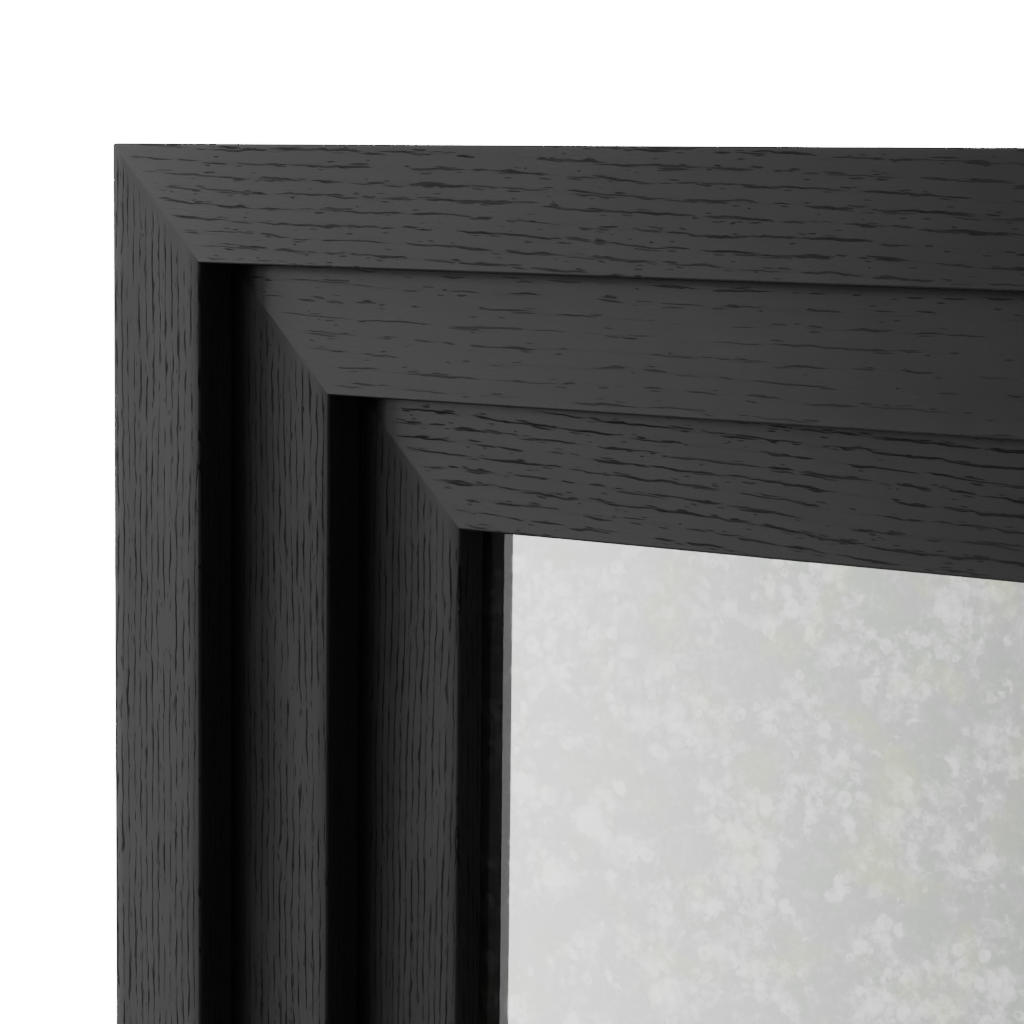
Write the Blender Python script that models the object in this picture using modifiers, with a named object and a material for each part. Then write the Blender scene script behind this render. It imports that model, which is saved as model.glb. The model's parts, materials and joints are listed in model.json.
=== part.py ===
"""A wall mirror in a three-tier stepped oak frame, hung on a French cleat.

Each tier is a mitred frame of its own that stands proud of the next one in. The glass lies in a
rebate behind the inner tier, under a backing board that eight turn buttons hold in.
X runs to the viewer's right, Y into the wall and Z up, all in metres. The origin is the middle
of the wall cleat's back face, on the wall.
"""

import math

import bmesh
import bpy
from mathutils import Vector

GAP = 0.0003  # left between any two pieces that touch

FRAME_WIDTH = 0.914
FRAME_HEIGHT = 1.219
OUTER_FACE = 0.036  # how much of each tier shows from the front
MIDDLE_FACE = 0.039
INNER_FACE = 0.039
TIER_STEP = 0.0145  # how far each tier stands in front of the next one in
GLASS_SETBACK = 0.0114  # from the inner tier's face back to the glass
ARRIS = 0.0006  # rounding of the tiers' front edges

REBATE = 0.008  # how far the inner tier laps over the glass
EDGE_PLAY = 0.0015  # room round the edge of the glass and the board
GLASS_THICKNESS = 0.004
BOARD_THICKNESS = 0.006

CLEAT_THICKNESS = 0.012
CLEAT_HEIGHT = 0.050  # of each cleat's taller face
CLEAT_DROP = 0.003  # from the outer top rail down to the frame cleat
CLEAT_SIDE_CLEARANCE = 0.012  # from the cleat's end to a turned button
CLEAT_SCREW_COUNT = 5
CLEAT_SCREW_END = 0.030  # from the cleat's end to its outermost screws
CLEAT_SCREW_SINK = 0.0015  # how deep the heads lie under the cleat's face
WALL_HOLE_COUNT = 4
WALL_HOLE_RADIUS = 0.00225
WALL_HOLE_MOUTH = 0.0045
WALL_HOLE_END = 0.045

BUTTON_LENGTH = 0.035
BUTTON_WIDTH = 0.014
BUTTON_THICKNESS = 0.002
BUTTON_PIVOT = 0.014  # from the rebate's edge out to the button's screw
BUTTON_FROM_CORNER_RAIL = 0.160
BUTTON_FROM_CORNER_STILE = 0.280

PLATE_THICKNESS = 0.002
PLATE_ROUNDING = 0.006
PLATE_MARGIN = 0.006  # from the outer tier's inner side to the plate
PLATE_REBATE_CLEARANCE = 0.002  # from the plate to the rebate, so that the board lifts out past it
PLATE_HOLE_EDGE = 0.012  # from the plate's inner edge to the middle tier's screws
PLATE_CORNER_HOLE_EDGE = 0.006  # from the plate's inner edge to the inner tier's screws
PLATE_INNER_HOLE = 0.008  # from the middle tier's inner side to the inner tier's screws

BUMPER_RADIUS = 0.008
BUMPER_THICKNESS = 0.0025
BUMPER_RISE = 0.045  # from the frame's bottom edge to a bumper's centre

# Wood screws: shank radius, head radius, head height and length under the head.
SMALL_SCREW = (0.00175, 0.0035, 0.0016, 0.0150)
CLEAT_SCREW = (0.00200, 0.0040, 0.0018, 0.0260)
SCREW_POINT = 0.004
TURNED_STEPS = 16

# Depths, from the wall at 0 out to the front at the lowest Y.
BACK_Y = -(CLEAT_THICKNESS + GAP)
REBATE_Y = BACK_Y - BOARD_THICKNESS - GLASS_THICKNESS - 2 * GAP
GLASS_FRONT_Y = REBATE_Y + GAP
INNER_FRONT_Y = GLASS_FRONT_Y - GLASS_SETBACK
MIDDLE_FRONT_Y = INNER_FRONT_Y - TIER_STEP
OUTER_FRONT_Y = MIDDLE_FRONT_Y - TIER_STEP
OUTER_BACK_Y = -(BUMPER_THICKNESS + GAP)

# Heights. The two cleats meet on a 45 degree bevel.
BEVEL_GAP = GAP * math.sqrt(2)
FRAME_CLEAT_TOP = 1.5 * CLEAT_HEIGHT - CLEAT_THICKNESS + BEVEL_GAP
FRAME_TOP = FRAME_CLEAT_TOP + CLEAT_DROP + OUTER_FACE
FRAME_MIDDLE_Z = FRAME_TOP - FRAME_HEIGHT / 2

BUTTON_REACH = BUTTON_LENGTH - BUTTON_WIDTH / 2
CLEAT_HALF = FRAME_WIDTH / 2 - BUTTON_FROM_CORNER_RAIL - BUTTON_REACH - CLEAT_SIDE_CLEARANCE
MIDDLE_CENTRE = OUTER_FACE + MIDDLE_FACE / 2  # from the frame's edge to the middle tier's centre line
INNER_EDGE = OUTER_FACE + MIDDLE_FACE  # from the frame's edge to the inner tier
OPENING = INNER_EDGE + INNER_FACE  # from the frame's edge to the visible glass
REBATE_EDGE = OPENING - REBATE  # from the frame's edge to the rebate
PLATE_NEAR = OUTER_FACE + PLATE_MARGIN  # from the frame's edge to a corner plate
PLATE_SIZE = REBATE_EDGE - PLATE_REBATE_CLEARANCE - PLATE_NEAR

SIDES = {  # direction outwards from the middle, and the turn about Y that takes +Z there
    "top_rail": ((0, 1), 0),
    "right_stile": ((1, 0), math.pi / 2),
    "bottom_rail": ((0, -1), math.pi),
    "left_stile": ((-1, 0), -math.pi / 2),
}
CORNERS = {"top_left": (-1, 1), "top_right": (1, 1), "bottom_left": (-1, -1), "bottom_right": (1, -1)}


def clear_scene():
    for obj in list(bpy.data.objects):
        bpy.data.objects.remove(obj, do_unlink=True)


def new_collection(name):
    collection = bpy.data.collections.new(name)
    bpy.context.scene.collection.children.link(collection)
    return collection


def material(name, colour, roughness, metallic=0.0):
    made = bpy.data.materials.new(name)
    made.use_nodes = True
    shader = made.node_tree.nodes["Principled BSDF"]
    shader.inputs["Base Color"].default_value = (*colour, 1.0)
    shader.inputs["Roughness"].default_value = roughness
    shader.inputs["Metallic"].default_value = metallic
    return made


def mesh_from(name, bm):
    mesh = bpy.data.meshes.new(name)
    bm.to_mesh(mesh)
    bm.free()
    return mesh


def box_mesh(name, size):
    bm = bmesh.new()
    bmesh.ops.create_cube(bm, size=1.0)
    bmesh.ops.scale(bm, vec=Vector(size), verts=bm.verts)
    return mesh_from(name, bm)


def member_mesh(name, length, face, depth):
    """A bar along X with its outer edge at +Z, mitred at both ends, its front edges eased."""
    bm = bmesh.new()
    bmesh.ops.create_cube(bm, size=1.0)
    bmesh.ops.scale(bm, vec=Vector((length, depth, face)), verts=bm.verts)
    for vert in bm.verts:
        if vert.co.z < 0:
            vert.co.x -= math.copysign(face, vert.co.x)
    front = [e for e in bm.edges if all(v.co.y < 0 for v in e.verts)]
    long_edges = [e for e in front if abs(e.verts[0].co.z - e.verts[1].co.z) < GAP]
    bmesh.ops.bevel(bm, geom=long_edges, offset=ARRIS, segments=2, profile=0.5, affect="EDGES")
    return mesh_from(name, bm)


def rounded_plate_mesh(name, size, rounding, segments):
    """A flat plate whose corners are rounded about Y."""
    bm = bmesh.new()
    bmesh.ops.create_cube(bm, size=1.0)
    bmesh.ops.scale(bm, vec=Vector(size), verts=bm.verts)
    upright = [e for e in bm.edges if abs(e.verts[0].co.y - e.verts[1].co.y) > GAP]
    bmesh.ops.bevel(bm, geom=upright, offset=rounding, segments=segments, profile=0.5, affect="EDGES")
    return mesh_from(name, bm)


def profile_mesh(name, points):
    """An open outline of (radius, height) points, to be turned about Z."""
    bm = bmesh.new()
    verts = [bm.verts.new((radius, 0, height)) for radius, height in points]
    for first, second in zip(verts, verts[1:]):
        bm.edges.new((first, second))
    return mesh_from(name, bm)


def add(name, mesh, collection, finish=None, parent=None, location=(0, 0, 0), turn=(0, 0, 0)):
    obj = bpy.data.objects.new(name, mesh)
    collection.objects.link(obj)
    obj.location = location
    obj.rotation_euler = turn
    obj.parent = parent
    if finish and not mesh.materials:
        mesh.materials.append(finish)
    return obj


def add_turned(name, points, collection, finish, parent, location):
    """A turned piece whose top faces the wall."""
    mesh = profile_mesh(name, points)
    obj = add(name, mesh, collection, finish, parent, location, (-math.pi / 2, 0, 0))
    turned = obj.modifiers.new("turned", "SCREW")
    turned.steps = TURNED_STEPS
    turned.render_steps = TURNED_STEPS
    turned.use_merge_vertices = True
    turned.merge_threshold = 0.00001
    return obj


def as_cutter(obj):
    obj.hide_render = True
    obj.display_type = "WIRE"
    return obj


def drill_cutter(name, holes, collection):
    """One cutter for many holes along Y: each hole is (x, z, mouth y, end y, mouth and end radius)."""
    bm = bmesh.new()
    for x, z, mouth, end, mouth_radius, end_radius in holes:
        made = bmesh.ops.create_cone(
            bm,
            cap_ends=True,
            segments=TURNED_STEPS,
            radius1=end_radius,
            radius2=mouth_radius,
            depth=mouth - end,
        )
        for vert in made["verts"]:
            across, up, along = vert.co
            vert.co = Vector((x + across, (mouth + end) / 2 + along, z - up))
    return as_cutter(add(name, mesh_from(name, bm), collection))


def cut(obj, cutter):
    modifier = obj.modifiers.new(cutter.name, "BOOLEAN")
    modifier.operation = "DIFFERENCE"
    modifier.solver = "EXACT"
    modifier.object = cutter


def screw_outline(kind):
    """From the top of the head down to the point, with the underside of the head at height 0."""
    shank, head, height, length = kind
    return [
        (0, height),
        (0.7 * head, height),
        (head, 0.4 * height),
        (head, 0),
        (shank, 0),
        (shank, SCREW_POINT - length),
        (0, -length),
    ]


def add_tier(tier, inset, shown, front_y, back_y, collection, finish, parent):
    """The four mitred members of one tier, whose outer edge lies inset from the frame's edge."""
    seam = GAP if inset else 0.0
    face = shown - seam
    half = (FRAME_WIDTH / 2 - inset - seam, FRAME_HEIGHT / 2 - inset - seam)
    trim = GAP / math.sqrt(2)  # off each end, which leaves GAP across the mitre
    members = []
    for side, (outwards, turn) in SIDES.items():
        along = half[0] if outwards[1] else half[1]
        name = f"{tier}_{side}"
        mesh = member_mesh(name, 2 * (along - trim), face, back_y - front_y)
        centre = (
            outwards[0] * (half[0] - face / 2),
            (front_y + back_y) / 2,
            FRAME_MIDDLE_Z + outwards[1] * (half[1] - face / 2),
        )
        members.append(add(name, mesh, collection, finish, parent, centre, (0, turn, 0)))
    return members


def rebate_cutter(collection):
    size = (
        FRAME_WIDTH - 2 * REBATE_EDGE,
        2 * (BACK_Y - REBATE_Y),
        FRAME_HEIGHT - 2 * REBATE_EDGE,
    )
    return as_cutter(add("rebate_cutter", box_mesh("rebate", size), collection, None, None,
                         (0, REBATE_Y + size[1] / 2, FRAME_MIDDLE_Z)))


def add_panel(name, front_y, thickness, collection, finish, parent):
    """A sheet that fills the rebate: the glass or the board behind it."""
    inset = REBATE_EDGE + EDGE_PLAY
    size = (FRAME_WIDTH - 2 * inset, thickness, FRAME_HEIGHT - 2 * inset)
    place = (0, front_y + thickness / 2, FRAME_MIDDLE_Z)
    return add(name, box_mesh(name, size), collection, finish, parent, place)


def button_places():
    """The pivot of each turn button, and the turn about Y that points it at the glass."""
    reach_x = FRAME_WIDTH / 2 - REBATE_EDGE + BUTTON_PIVOT
    reach_z = FRAME_HEIGHT / 2 - REBATE_EDGE + BUTTON_PIVOT
    along_rail = FRAME_WIDTH / 2 - BUTTON_FROM_CORNER_RAIL
    along_stile = FRAME_HEIGHT / 2 - BUTTON_FROM_CORNER_STILE
    places = []
    for outwards, turn in SIDES.values():
        for sign in (-1, 1):
            if outwards[1]:
                spot = (sign * along_rail, outwards[1] * reach_z)
            else:
                spot = (outwards[0] * reach_x, sign * along_stile)
            places.append(((spot[0], FRAME_MIDDLE_Z + spot[1]), turn))
    return places


def button_mesh():
    """A bar with round ends that hangs down from its pivot."""
    mesh = rounded_plate_mesh(
        "turn_button",
        (BUTTON_WIDTH, BUTTON_THICKNESS, BUTTON_LENGTH),
        0.499 * BUTTON_WIDTH,
        5,
    )
    for vert in mesh.vertices:
        vert.co.z -= BUTTON_LENGTH / 2 - BUTTON_WIDTH / 2
    return mesh


def plate_screw_places(corner):
    """One screw in each of the four members that meet under a corner plate."""
    far = PLATE_NEAR + PLATE_SIZE
    inner = INNER_EDGE + PLATE_INNER_HOLE
    return [
        (corner[0] * (FRAME_WIDTH / 2 - x), FRAME_MIDDLE_Z + corner[1] * (FRAME_HEIGHT / 2 - z))
        for x, z in (
            (far - PLATE_HOLE_EDGE, MIDDLE_CENTRE),
            (MIDDLE_CENTRE, far - PLATE_HOLE_EDGE),
            (far - PLATE_CORNER_HOLE_EDGE, inner),
            (inner, far - PLATE_CORNER_HOLE_EDGE),
        )
    ]


def spread(half, count):
    return [half * (2 * i / (count - 1) - 1) for i in range(count)]


def cleat_screw_places():
    height = FRAME_TOP - MIDDLE_CENTRE
    return [(x, height) for x in spread(CLEAT_HALF - CLEAT_SCREW_END, CLEAT_SCREW_COUNT)]


def hole_for(place, kind, seat_y, mouth_y):
    """The straight hole for a screw whose head seats at seat_y."""
    radius = kind[0] + GAP
    return (*place, mouth_y, seat_y - kind[3] - GAP, radius, radius)


def screw_hole_cutter(collection, button_seat, plate_seat, cleat_seat):
    holes = [hole_for(spot, SMALL_SCREW, button_seat, button_seat + GAP) for spot, _ in button_places()]
    for corner in CORNERS.values():
        spots = plate_screw_places(corner)
        holes += [hole_for(spot, SMALL_SCREW, plate_seat, plate_seat + GAP) for spot in spots]
    holes += [hole_for(spot, CLEAT_SCREW, cleat_seat, cleat_seat + GAP) for spot in cleat_screw_places()]
    return drill_cutter("screw_holes", holes, collection)


def head_hole_cutter(collection, cleat_seat):
    radius = CLEAT_SCREW[1] + 2 * GAP
    holes = [(*spot, GAP, cleat_seat - GAP, radius, radius) for spot in cleat_screw_places()]
    return drill_cutter("screw_head_holes", holes, collection)


def wall_hole_cutter(collection):
    """Countersunk holes for the screws that go into the wall."""
    front = -CLEAT_THICKNESS
    sink = front + WALL_HOLE_MOUTH - WALL_HOLE_RADIUS
    spots = [(x, 0) for x in spread(CLEAT_HALF - WALL_HOLE_END, WALL_HOLE_COUNT)]
    straight = [(*s, GAP, front - GAP, WALL_HOLE_RADIUS, WALL_HOLE_RADIUS) for s in spots]
    mouths = [(*s, sink, front - GAP, WALL_HOLE_RADIUS, WALL_HOLE_MOUTH + GAP) for s in spots]
    return [
        drill_cutter("wall_holes", straight, collection),
        drill_cutter("wall_hole_mouths", mouths, collection),
    ]


def add_cleat(name, depth, tall_bottom, tall_top, bevel_end, collection, finish, parent):
    """A strip along X. bevel_end is -1 for a bevelled bottom edge and 1 for a bevelled top edge."""
    mesh = box_mesh(name, (2 * CLEAT_HALF, depth, tall_top - tall_bottom))
    for vert in mesh.vertices:
        if vert.co.z * bevel_end > 0 and vert.co.y * bevel_end > 0:
            vert.co.z -= bevel_end * depth
    place = (0, -CLEAT_THICKNESS + depth / 2, (tall_bottom + tall_top) / 2)
    return add(name, mesh, collection, finish, parent, place)


def build_frame(parts, cutters, finishes, hung):
    oak = finishes["oak"]
    add_tier("outer", 0, OUTER_FACE, OUTER_FRONT_Y, OUTER_BACK_Y, parts, oak, hung)
    middle = add_tier("middle", OUTER_FACE, MIDDLE_FACE, MIDDLE_FRONT_Y, BACK_Y, parts, oak, hung)
    inner = add_tier("inner", INNER_EDGE, INNER_FACE, INNER_FRONT_Y, BACK_Y, parts, oak, hung)
    rebate = rebate_cutter(cutters)
    for member in inner:
        cut(member, rebate)
    return middle + inner


def build_panels(parts, finishes, hung):
    add_panel("mirror_glass", GLASS_FRONT_Y, GLASS_THICKNESS, parts, finishes["mirror"], hung)
    add_panel("backing_board", BACK_Y - BOARD_THICKNESS, BOARD_THICKNESS, parts, finishes["board"], hung)


def build_buttons(parts, finishes, hung, seat):
    """Eight turn buttons, each with its origin on its screw, and their screws."""
    shape = button_mesh()
    outline = screw_outline(SMALL_SCREW)
    buttons = []
    for number, ((x, z), turn) in enumerate(button_places(), 1):
        place = (x, BACK_Y + GAP + BUTTON_THICKNESS / 2, z)
        name = f"turn_button_{number}"
        buttons.append(add(name, shape, parts, finishes["zinc"], hung, place, (0, turn, 0)))
        add_turned(f"turn_button_screw_{number}", outline, parts, finishes["steel"], hung, (x, seat, z))
    return buttons


def build_corner_plates(parts, finishes, hung, seat):
    size = (PLATE_SIZE, PLATE_THICKNESS, PLATE_SIZE)
    shape = rounded_plate_mesh("corner_plate", size, PLATE_ROUNDING, 3)
    outline = screw_outline(SMALL_SCREW)
    inset = PLATE_NEAR + PLATE_SIZE / 2
    plates = []
    for corner, (side, end) in CORNERS.items():
        place = (
            side * (FRAME_WIDTH / 2 - inset),
            BACK_Y + GAP + PLATE_THICKNESS / 2,
            FRAME_MIDDLE_Z + end * (FRAME_HEIGHT / 2 - inset),
        )
        plates.append(add(f"corner_plate_{corner}", shape, parts, finishes["zinc"], hung, place))
        for number, (x, z) in enumerate(plate_screw_places((side, end)), 1):
            name = f"corner_screw_{corner}_{number}"
            add_turned(name, outline, parts, finishes["steel"], hung, (x, seat, z))
    return plates


def build_cleats(parts, cutters, finishes, hung, seat):
    """The frame's cleat hooks over the wall's cleat. Its back clears the wall by GAP."""
    low = CLEAT_HEIGHT / 2 - CLEAT_THICKNESS + BEVEL_GAP + GAP
    frame_cleat = add_cleat("frame_cleat", CLEAT_THICKNESS - GAP, low, FRAME_CLEAT_TOP, -1,
                            parts, finishes["ply"], hung)
    cut(frame_cleat, head_hole_cutter(cutters, seat))
    wall_cleat = add_cleat("wall_cleat", CLEAT_THICKNESS, -CLEAT_HEIGHT / 2, CLEAT_HEIGHT / 2, 1,
                           parts, finishes["ply"], None)
    for cutter in wall_hole_cutter(cutters):
        cut(wall_cleat, cutter)
    outline = screw_outline(CLEAT_SCREW)
    for number, (x, z) in enumerate(cleat_screw_places(), 1):
        add_turned(f"frame_cleat_screw_{number}", outline, parts, finishes["steel"], hung, (x, seat, z))
    return frame_cleat


def build_bumpers(parts, finishes, hung):
    outline = [(0, 0), (BUMPER_RADIUS, 0), (BUMPER_RADIUS, -BUMPER_THICKNESS), (0, -BUMPER_THICKNESS)]
    for side, sign in (("left", -1), ("right", 1)):
        place = (sign * (FRAME_WIDTH / 2 - OUTER_FACE / 2), 0, FRAME_TOP - FRAME_HEIGHT + BUMPER_RISE)
        add_turned(f"bumper_{side}", outline, parts, finishes["felt"], hung, place)


def make_finishes():
    return {
        "oak": material("black_oak", (0.022, 0.022, 0.022), 0.55),
        "mirror": material("antiqued_mirror", (0.62, 0.64, 0.61), 0.08, 1.0),
        "board": material("backing_board", (0.17, 0.10, 0.055), 0.8),
        "zinc": material("zinc_plate", (0.55, 0.55, 0.56), 0.35, 1.0),
        "steel": material("screw_steel", (0.42, 0.41, 0.38), 0.35, 1.0),
        "ply": material("birch_ply", (0.60, 0.45, 0.28), 0.6),
        "felt": material("felt", (0.05, 0.05, 0.05), 0.95),
    }


def main():
    clear_scene()
    parts = new_collection("stepped_frame_mirror")
    cutters = new_collection("cutters")
    finishes = make_finishes()
    hung = add("hung_mirror", None, parts)

    button_seat = BACK_Y + BUTTON_THICKNESS + 2 * GAP
    plate_seat = BACK_Y + PLATE_THICKNESS + 2 * GAP
    cleat_seat = -(GAP + CLEAT_SCREW_SINK + CLEAT_SCREW[2])

    drilled = build_frame(parts, cutters, finishes, hung)
    build_panels(parts, finishes, hung)
    drilled += build_buttons(parts, finishes, hung, button_seat)
    drilled += build_corner_plates(parts, finishes, hung, plate_seat)
    drilled.append(build_cleats(parts, cutters, finishes, hung, cleat_seat))
    screw_holes = screw_hole_cutter(cutters, button_seat, plate_seat, cleat_seat)
    for piece in drilled:
        cut(piece, screw_holes)
    build_bumpers(parts, finishes, hung)


main()
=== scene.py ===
"""The looks of a stepped-frame antiqued mirror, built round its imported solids.

X runs to the viewer's right, Y into the wall and Z up, in metres, as in the solids. The oak
members, the mirror and the screws are made here; the other solids get materials and fine edges.
"""

import json
import math

import bmesh
import bpy
import numpy as np
from mathutils import Matrix, Vector, noise

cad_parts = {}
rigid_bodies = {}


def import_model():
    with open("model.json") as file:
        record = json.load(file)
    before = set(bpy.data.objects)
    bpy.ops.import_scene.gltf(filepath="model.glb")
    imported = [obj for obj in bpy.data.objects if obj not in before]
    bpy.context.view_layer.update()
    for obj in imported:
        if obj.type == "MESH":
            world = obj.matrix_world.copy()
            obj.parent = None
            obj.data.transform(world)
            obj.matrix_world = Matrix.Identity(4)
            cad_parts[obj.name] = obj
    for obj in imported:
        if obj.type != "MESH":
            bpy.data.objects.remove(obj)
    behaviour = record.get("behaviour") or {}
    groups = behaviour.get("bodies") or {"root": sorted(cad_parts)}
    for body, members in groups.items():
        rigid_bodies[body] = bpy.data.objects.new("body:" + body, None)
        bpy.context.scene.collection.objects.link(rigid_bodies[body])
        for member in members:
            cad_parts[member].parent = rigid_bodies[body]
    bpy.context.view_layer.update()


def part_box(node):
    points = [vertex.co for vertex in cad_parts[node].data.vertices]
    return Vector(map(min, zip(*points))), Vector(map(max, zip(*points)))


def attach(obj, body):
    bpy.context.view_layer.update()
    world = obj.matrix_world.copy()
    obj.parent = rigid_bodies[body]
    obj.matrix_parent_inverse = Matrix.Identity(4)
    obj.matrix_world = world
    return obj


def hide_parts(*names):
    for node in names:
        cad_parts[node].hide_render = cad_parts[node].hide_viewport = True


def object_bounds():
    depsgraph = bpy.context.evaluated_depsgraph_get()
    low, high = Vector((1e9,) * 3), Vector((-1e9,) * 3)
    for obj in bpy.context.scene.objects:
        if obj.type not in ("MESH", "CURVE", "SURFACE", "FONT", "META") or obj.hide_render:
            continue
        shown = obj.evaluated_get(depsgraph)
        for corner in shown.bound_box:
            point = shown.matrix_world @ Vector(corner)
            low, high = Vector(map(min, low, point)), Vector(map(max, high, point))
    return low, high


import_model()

TIERS = ("outer", "middle", "inner")
MM = 0.001

# Camera: a long lens level with the frame's top left corner, in front of it and to its right.
CAMERA_FROM_CORNER = Vector((0.6808, -0.7191, -0.0058))
CAMERA_YAW = math.radians(36.21)
CAMERA_PITCH = math.radians(6.243)
CAMERA_ROLL = math.radians(0.572)
CAMERA_LENS = 111.22
CAMERA_SENSOR = 36.0

DIMMING_START = 0.10  # share of a softbox's width where it starts to dim
WHITE = 17.0  # strength of a surface that is seen as pure white

# Oak members.
ARRIS = 0.8 * MM
BACK_ARRIS = 0.3 * MM
CORNER_ROUNDING = 1.3 * MM
RING_STEP = 4.0 * MM
END_STATIONS = [d * MM for d in (0.2, 0.45, 0.75, 1.1, 1.6, 2.4)]
WAVER = 0.10 * MM
WAVER_FADE = 8.0 * MM
SEAM = 0.28 * MM  # the middle and inner tiers reach this far outwards, to touch the next tier
EDGE_PLAY = 1.5 * MM  # between the glass and the rebate

# Each tier's grain: pore row pitch, cover, depth of tone and slope, for rails and for stiles.
GRAIN = {
    ("outer", "rail"): (4.3 * MM, 0.90, 1.00, 0.030),
    ("outer", "stile"): (2.5 * MM, 0.95, 1.00, 0.006),
    ("middle", "rail"): (4.9 * MM, 0.38, 0.72, 0.012),
    ("middle", "stile"): (2.5 * MM, 0.88, 0.85, -0.008),
    ("inner", "rail"): (4.1 * MM, 0.88, 1.00, 0.045),
    ("inner", "stile"): (2.4 * MM, 0.92, 0.95, 0.010),
}
FINISH_ROUGHNESS = {"rail": 0.285, "stile": 0.53}
# Pore layers, longest first: cell along the row, half thickness, spread about the row, cover.
PORE_LAYERS = (
    (31.0 * MM, 0.24 * MM, 0.12, 1.00),
    (19.0 * MM, 0.25 * MM, 0.22, 1.00),
    (11.0 * MM, 0.21 * MM, 0.34, 0.90),
    (6.0 * MM, 0.18 * MM, 0.50, 0.60),
    (3.4 * MM, 0.14 * MM, 0.95, 0.32),
)
PORE_RELIEF = 0.24 * MM
SIDES = {  # the way each member faces, and its turn from the top rail
    "top_rail": ((0, 1), 0.0),
    "right_stile": ((1, 0), math.pi / 2),
    "bottom_rail": ((0, -1), math.pi),
    "left_stile": ((-1, 0), -math.pi / 2),
}


# ---------------------------------------------------------------- camera and light


def add_camera():
    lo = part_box("outer_left_stile")[0]
    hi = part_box("outer_top_rail")[1]
    corner = Vector((lo.x, lo.y, hi.z))
    sin_yaw, cos_yaw = math.sin(CAMERA_YAW), math.cos(CAMERA_YAW)
    sin_pitch, cos_pitch = math.sin(CAMERA_PITCH), math.cos(CAMERA_PITCH)
    forward = Vector((-sin_yaw * cos_pitch, cos_yaw * cos_pitch, -sin_pitch))
    level = Vector((cos_yaw, sin_yaw, 0))
    upright = level.cross(forward)
    right = math.cos(CAMERA_ROLL) * level + math.sin(CAMERA_ROLL) * upright
    up = -math.sin(CAMERA_ROLL) * level + math.cos(CAMERA_ROLL) * upright
    camera = bpy.data.objects.new("camera", bpy.data.cameras.new("camera"))
    bpy.context.scene.collection.objects.link(camera)
    camera.data.lens = CAMERA_LENS
    camera.data.sensor_width = CAMERA_SENSOR
    camera.data.clip_start = 0.05
    camera.data.clip_end = 100
    turn = Matrix((right, up, -forward)).transposed().to_4x4()
    camera.matrix_world = Matrix.Translation(corner + CAMERA_FROM_CORNER) @ turn
    bpy.context.scene.camera = camera


def add_softbox(name, centre, size, radiance, far_share):
    """An upright panel in front of the object, facing it. Over its right nine tenths it dims
    towards +X, to far_share of its radiance."""
    light = bpy.data.lights.new(name, "AREA")
    light.shape = "RECTANGLE"
    light.size, light.size_y = size
    light.energy = math.pi * radiance * size[0] * size[1]
    light.use_nodes = True
    n = Nodes(light.node_tree)
    across = n.split(n.add("ShaderNodeNewGeometry").outputs["Parametric"])[0]
    level = n.range(across, 1.0, DIMMING_START, far_share, 1.0, smooth=False)
    n.set(light.node_tree.nodes["Emission"].inputs["Strength"], level)
    obj = bpy.data.objects.new(name, light)
    bpy.context.scene.collection.objects.link(obj)
    obj.location = centre
    obj.rotation_euler = (math.pi / 2, 0, 0)


# ---------------------------------------------------------------- node helpers


class Nodes:
    """Short calls for one node tree. A value is a number, a tuple or another node's socket."""

    def __init__(self, tree):
        self.tree = tree

    def set(self, socket, value):
        if isinstance(value, bpy.types.NodeSocket):
            self.tree.links.new(value, socket)
        elif value is not None:
            socket.default_value = value

    def add(self, kind, inputs=(), **settings):
        node = self.tree.nodes.new(kind)
        for name, value in settings.items():
            setattr(node, name, value)
        for key, value in dict(inputs).items():
            self.set(node.inputs[key], value)
        return node

    def math(self, operation, *values, clamp=False):
        node = self.add("ShaderNodeMath", operation=operation, use_clamp=clamp)
        for socket, value in zip(node.inputs, values):
            self.set(socket, value)
        return node.outputs[0]

    def range(self, value, low, high, to_low=0.0, to_high=1.0, smooth=True):
        kind = "SMOOTHSTEP" if smooth else "LINEAR"
        node = self.add("ShaderNodeMapRange", interpolation_type=kind, clamp=True)
        for key, number in zip(("Value", "From Min", "From Max", "To Min", "To Max"),
                               (value, low, high, to_low, to_high)):
            self.set(node.inputs[key], number)
        return node.outputs["Result"]

    def mix(self, factor, low, high):
        node = self.add("ShaderNodeMix", data_type="RGBA", clamp_factor=True)
        self.set(node.inputs[0], factor)
        self.set(node.inputs[6], low)
        self.set(node.inputs[7], high)
        return node.outputs[2]

    def vector(self, x, y, z):
        return self.add("ShaderNodeCombineXYZ", {"X": x, "Y": y, "Z": z}).outputs[0]

    def split(self, vector):
        return self.add("ShaderNodeSeparateXYZ", {"Vector": vector}).outputs

    def attribute(self, name):
        return self.add("ShaderNodeAttribute", attribute_name=name).outputs["Vector"]

    def position(self):
        return self.add("ShaderNodeTexCoord").outputs["Object"]

    def scaled(self, vector, scale):
        return self.add("ShaderNodeVectorMath", {0: vector, 1: scale}, operation="MULTIPLY").outputs[0]

    def shifted(self, vector, by):
        return self.add("ShaderNodeVectorMath", {0: vector, 1: by}, operation="ADD").outputs[0]

    def noise(self, vector, scale=1.0, detail=2.0, rough=0.5, distortion=0.0):
        inputs = {"Vector": vector, "Scale": scale, "Detail": detail, "Roughness": rough,
                  "Distortion": distortion}
        return self.add("ShaderNodeTexNoise", inputs)

    def white(self, vector):
        return self.add("ShaderNodeTexWhiteNoise", {"Vector": vector}, noise_dimensions="3D")

    def bump(self, height, distance, normal=None):
        node = self.add("ShaderNodeBump", {"Height": height, "Distance": distance, "Strength": 1.0})
        if normal is not None:
            self.set(node.inputs["Normal"], normal)
        return node.outputs[0]


def new_material(name):
    material = bpy.data.materials.new(name)
    material.use_nodes = True
    nodes = Nodes(material.node_tree)
    return material, nodes, material.node_tree.nodes["Principled BSDF"]


# ---------------------------------------------------------------- oak


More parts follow.
